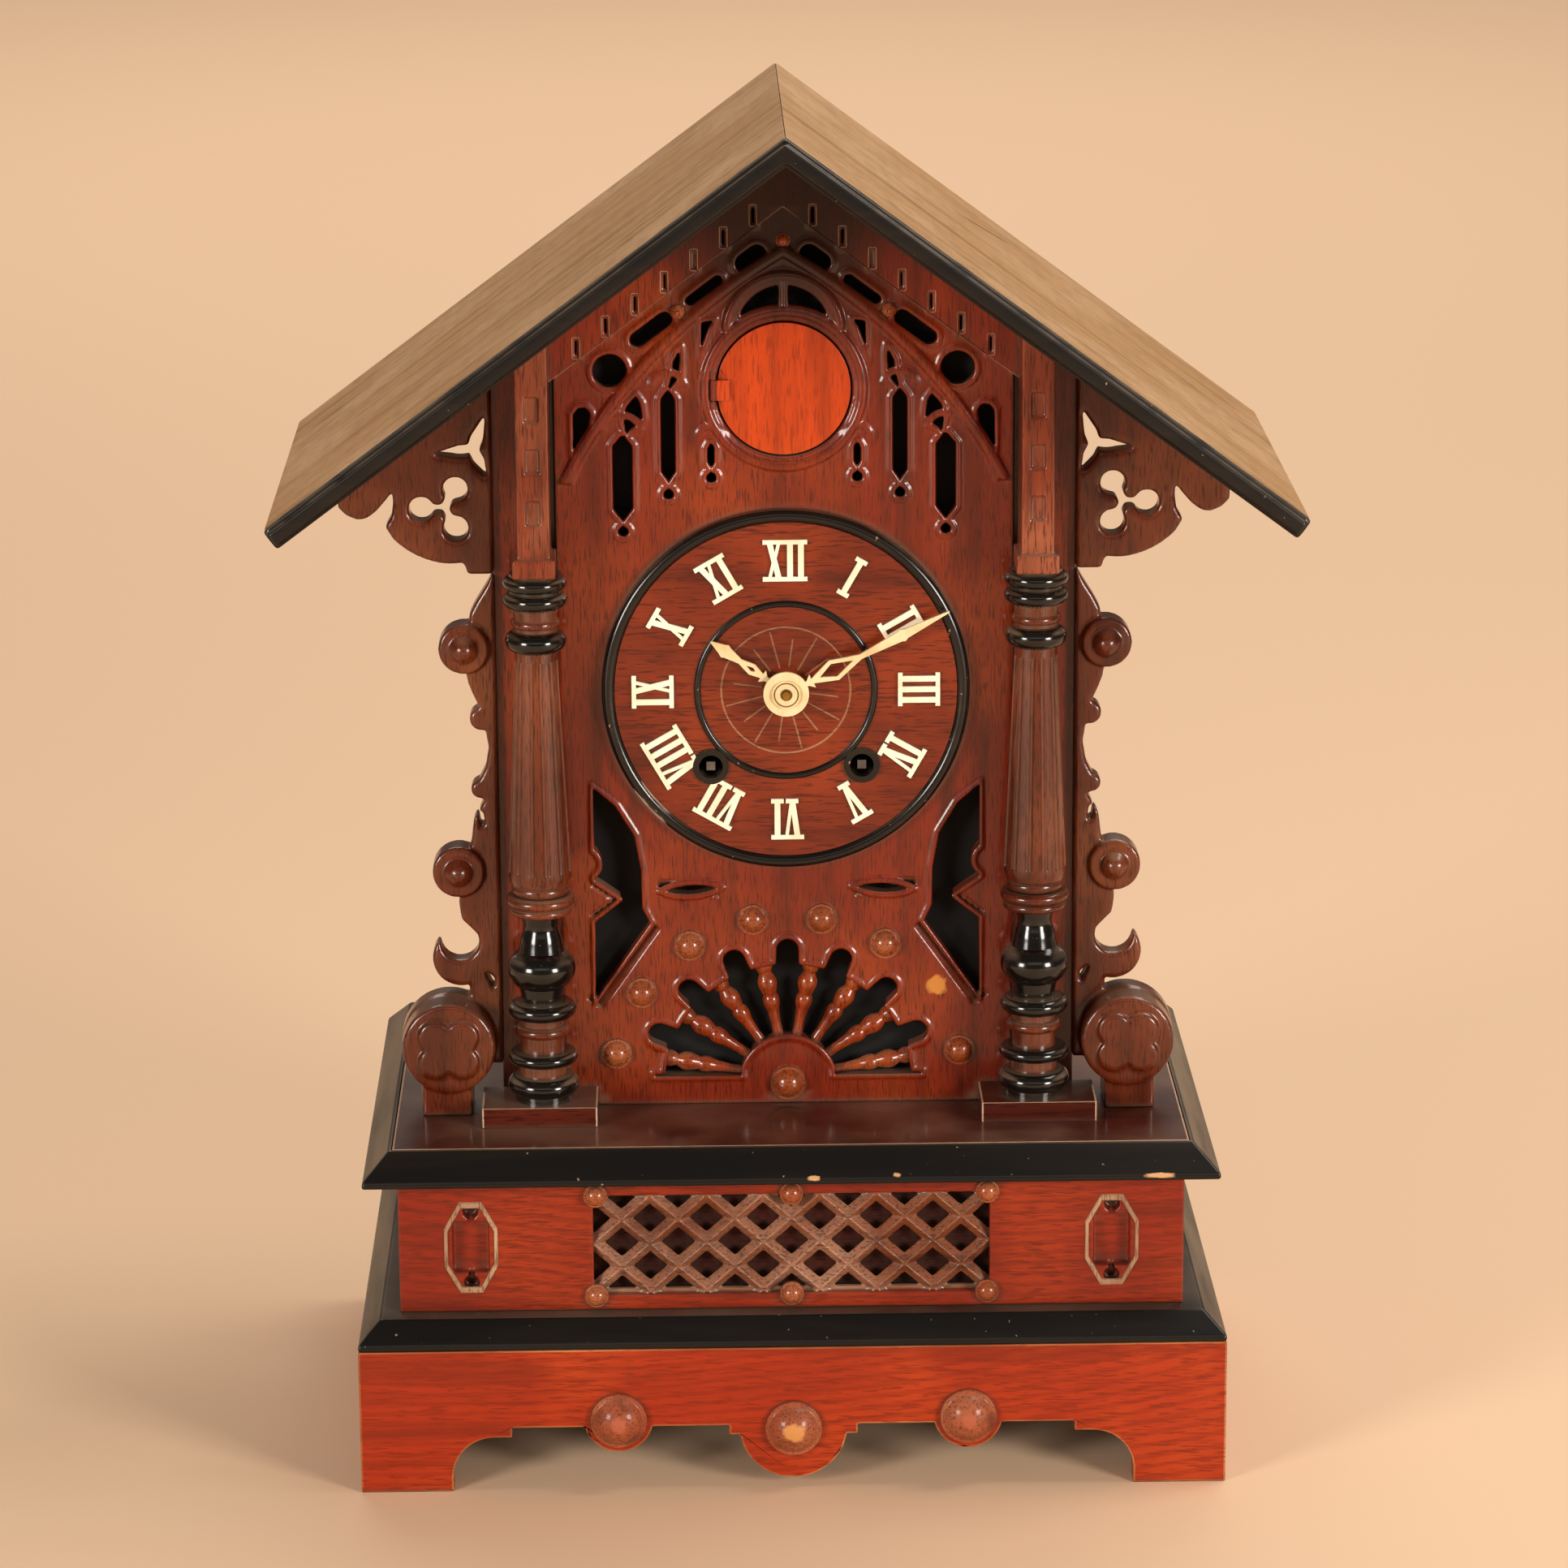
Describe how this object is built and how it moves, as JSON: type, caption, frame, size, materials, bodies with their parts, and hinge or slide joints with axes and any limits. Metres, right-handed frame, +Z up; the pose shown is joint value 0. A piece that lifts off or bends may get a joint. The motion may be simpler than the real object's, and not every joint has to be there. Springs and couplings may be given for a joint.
{
  "type": "cuckoo mantel clock",
  "caption": "Gabled carved wooden mantel clock with cuckoo door, bone numerals and hands, turned columns, stepped base and a geared striking movement.",
  "frame": {"origin": "on the ground, under the middle of the bounding box", "axes": "+X to the viewer's right, +Y to the back, +Z up"},
  "size_m": [0.39, 0.226, 0.529],
  "materials": {
    "plinth_wood": "orange-red varnished walnut",
    "ebonised": "black, semi-gloss, chipped and dusty",
    "carved_wood": "varnished red-brown walnut with dust in the carving",
    "turned_wood": "varnished, worn on the high spots",
    "deck_wood": "glossy varnish",
    "lattice_wood": "dusty matt brown",
    "dial_wood": "varnished",
    "side_wood": "varnished",
    "roof_wood": "bare, dusty and dry",
    "back_wood": "plain, lightly oiled",
    "button_wood": "oiled",
    "door_wood": "orange varnish",
    "bone": "cut bone, satin",
    "fitting_brass": "aged",
    "plate_brass": "brushed",
    "wheel_brass": "polished",
    "bob_brass": "spun",
    "steel": "satin",
    "gong_steel": "blued",
    "rod_wood": "varnished",
    "pale_wood": "bare spruce",
    "bird_paint": "painted brown",
    "leather": "soft matt kid"
  },
  "bodies": {
    "case": {"plinth_front": "plinth_wood", "plinth_frame": "plinth_wood", "plinth_bosses": "turned_wood", "lower_moulding": "ebonised", "box_front": "plinth_wood", "box_frame": "plinth_wood", "lattice_panel": "lattice_wood", "upper_moulding": "ebonised", "deck_board": "deck_wood", "front_panel": "carved_wood", "front_stiles": "carved_wood", "fan_spindles": "carved_wood", "turned_studs": "turned_wood", "gable_frieze": "carved_wood", "corner_posts": "carved_wood", "columns": "turned_wood", "column_blocks": "deck_wood", "eave_brackets": "carved_wood", "side_scrolls": "carved_wood", "dial_plate": "dial_wood", "dial_rings": "ebonised", "dial_numerals": "bone", "roof_board_left": "roof_wood", "roof_board_right": "roof_wood", "roof_moulding": "ebonised", "case_sides": "side_wood", "case_back": "back_wood", "door_fittings": "fitting_brass", "cuckoo_door_pin": "fitting_brass", "bird_shelf": "pale_wood", "bird_bracket": "fitting_brass", "front_plate": "plate_brass", "back_plate": "plate_brass", "whistle_pipes": "pale_wood", "bellows_leather_left": "leather", "bellows_leather_right": "leather", "gong": "gong_steel"},
    "centre_arbor": {"centre_wheel": "wheel_brass", "minute_hand": "bone"},
    "hour_pipe": {"hour_wheel": "wheel_brass", "hour_hand": "bone"},
    "minute_wheel": {"minute_wheel": "wheel_brass"},
    "third_arbor": {"third_wheel": "wheel_brass"},
    "escape_arbor": {"escape_wheel": "wheel_brass"},
    "going_barrel": {"going_barrel": "wheel_brass"},
    "strike_barrel": {"strike_barrel": "wheel_brass"},
    "pin_arbor": {"pin_wheel": "wheel_brass"},
    "going_winding": {"going_arbor": "steel"},
    "strike_winding": {"strike_arbor": "steel"},
    "anchor": {"anchor": "steel"},
    "pendulum": {"pendulum_rod": "rod_wood"},
    "bob": {"pendulum_bob": "bob_brass"},
    "bird": {"bird_arm": "steel", "cuckoo_bird": "bird_paint"},
    "cuckoo_door": {"cuckoo_door": "door_wood"},
    "hammer": {"hammer": "steel"},
    "bellows_left": {"bellows_top_left": "pale_wood"},
    "bellows_right": {"bellows_top_right": "pale_wood"},
    "back_door": {"back_door": "back_wood"},
    "door_button": {"door_button": "button_wood"}
  },
  "joints": [
    {"name": "minute_hand_turn", "type": "hinge", "parent": "case", "child": "centre_arbor", "pos_m": [0, 0, 0.305], "axis": [0, 1, 0], "continuous": true},
    {"name": "hour_hand_turn", "type": "hinge", "parent": "case", "child": "hour_pipe", "pos_m": [0, 0, 0.305], "axis": [0, 1, 0], "continuous": true},
    {"name": "minute_wheel_turn", "type": "hinge", "parent": "case", "child": "minute_wheel", "pos_m": [0, 0, 0.3194], "axis": [0, 1, 0], "continuous": true},
    {"name": "third_wheel_turn", "type": "hinge", "parent": "case", "child": "third_arbor", "pos_m": [-0.01319, 0, 0.33328], "axis": [0, 1, 0], "continuous": true},
    {"name": "escape_wheel_turn", "type": "hinge", "parent": "case", "child": "escape_arbor", "pos_m": [0, 0, 0.35182], "axis": [0, 1, 0], "continuous": true},
    {"name": "going_barrel_turn", "type": "hinge", "parent": "case", "child": "going_barrel", "pos_m": [0.0293, 0, 0.2749], "axis": [0, 1, 0], "continuous": true},
    {"name": "strike_barrel_turn", "type": "hinge", "parent": "case", "child": "strike_barrel", "pos_m": [-0.0293, 0, 0.2749], "axis": [0, 1, 0], "continuous": true},
    {"name": "pin_wheel_turn", "type": "hinge", "parent": "case", "child": "pin_arbor", "pos_m": [-0.04503, 0, 0.31384], "axis": [0, 1, 0], "continuous": true},
    {"name": "going_winding_turn", "type": "hinge", "parent": "case", "child": "going_winding", "pos_m": [0.0293, 0, 0.2749], "axis": [0, 1, 0], "continuous": true},
    {"name": "strike_winding_turn", "type": "hinge", "parent": "case", "child": "strike_winding", "pos_m": [-0.0293, 0, 0.2749], "axis": [0, 1, 0], "continuous": true},
    {"name": "pendulum_swing", "type": "hinge", "parent": "case", "child": "pendulum", "pos_m": [0, 0.055, 0.37182], "axis": [0, 1, 0], "range_deg": [-3.5, 3.5]},
    {"name": "anchor_rock", "type": "hinge", "parent": "case", "child": "anchor", "pos_m": [0, 0.035, 0.37182], "axis": [0, 1, 0], "range_deg": [-3.5, 3.5]},
    {"name": "bob_slide", "type": "slide", "parent": "pendulum", "child": "bob", "axis": [0, 0, 1], "range_m": [0, 0.006]},
    {"name": "bird_swing", "type": "hinge", "parent": "case", "child": "bird", "pos_m": [-0.06, -0.005, 0.421], "axis": [0, 0, -1], "range_deg": [0, 45]},
    {"name": "cuckoo_door_swing", "type": "hinge", "parent": "case", "child": "cuckoo_door", "pos_m": [-0.027, -0.0404, 0.4225], "axis": [0, 0, -1], "range_deg": [0, 100]},
    {"name": "hammer_lift", "type": "hinge", "parent": "case", "child": "hammer", "pos_m": [0.065, 0.072, 0.249], "axis": [0, 1, 0], "range_deg": [0, 12]},
    {"name": "left_bellows_lift", "type": "hinge", "parent": "case", "child": "bellows_left", "pos_m": [-0.0905, 0.04, 0.341], "axis": [-1, 0, 0], "range_deg": [0, 12], "deforming": ["bellows_leather_left"]},
    {"name": "right_bellows_lift", "type": "hinge", "parent": "case", "child": "bellows_right", "pos_m": [0.0905, 0.04, 0.341], "axis": [-1, 0, 0], "range_deg": [0, 12], "deforming": ["bellows_leather_right"]},
    {"name": "back_door_swing", "type": "hinge", "parent": "case", "child": "back_door", "pos_m": [-0.08, 0.10095, 0.275], "axis": [0, 0, 1], "range_deg": [0, 110]},
    {"name": "door_button_turn", "type": "hinge", "parent": "case", "child": "door_button", "pos_m": [0.086, 0.1008, 0.315], "axis": [0, 1, 0], "range_deg": [0, 90]}
  ],
  "couplings": [
    {"joint": "hour_hand_turn", "follows": "minute_hand_turn", "ratio": 0.083333},
    {"joint": "minute_wheel_turn", "follows": "minute_hand_turn", "ratio": -0.33333},
    {"joint": "third_wheel_turn", "follows": "minute_hand_turn", "ratio": -12},
    {"joint": "escape_wheel_turn", "follows": "minute_hand_turn", "ratio": 144},
    {"joint": "going_barrel_turn", "follows": "minute_hand_turn", "ratio": -0.14286},
    {"joint": "pin_wheel_turn", "follows": "strike_barrel_turn", "ratio": -7},
    {"joint": "anchor_rock", "follows": "pendulum_swing", "ratio": 1},
    {"joint": "cuckoo_door_swing", "follows": "bird_swing", "ratio": 2.2222}
  ]
}
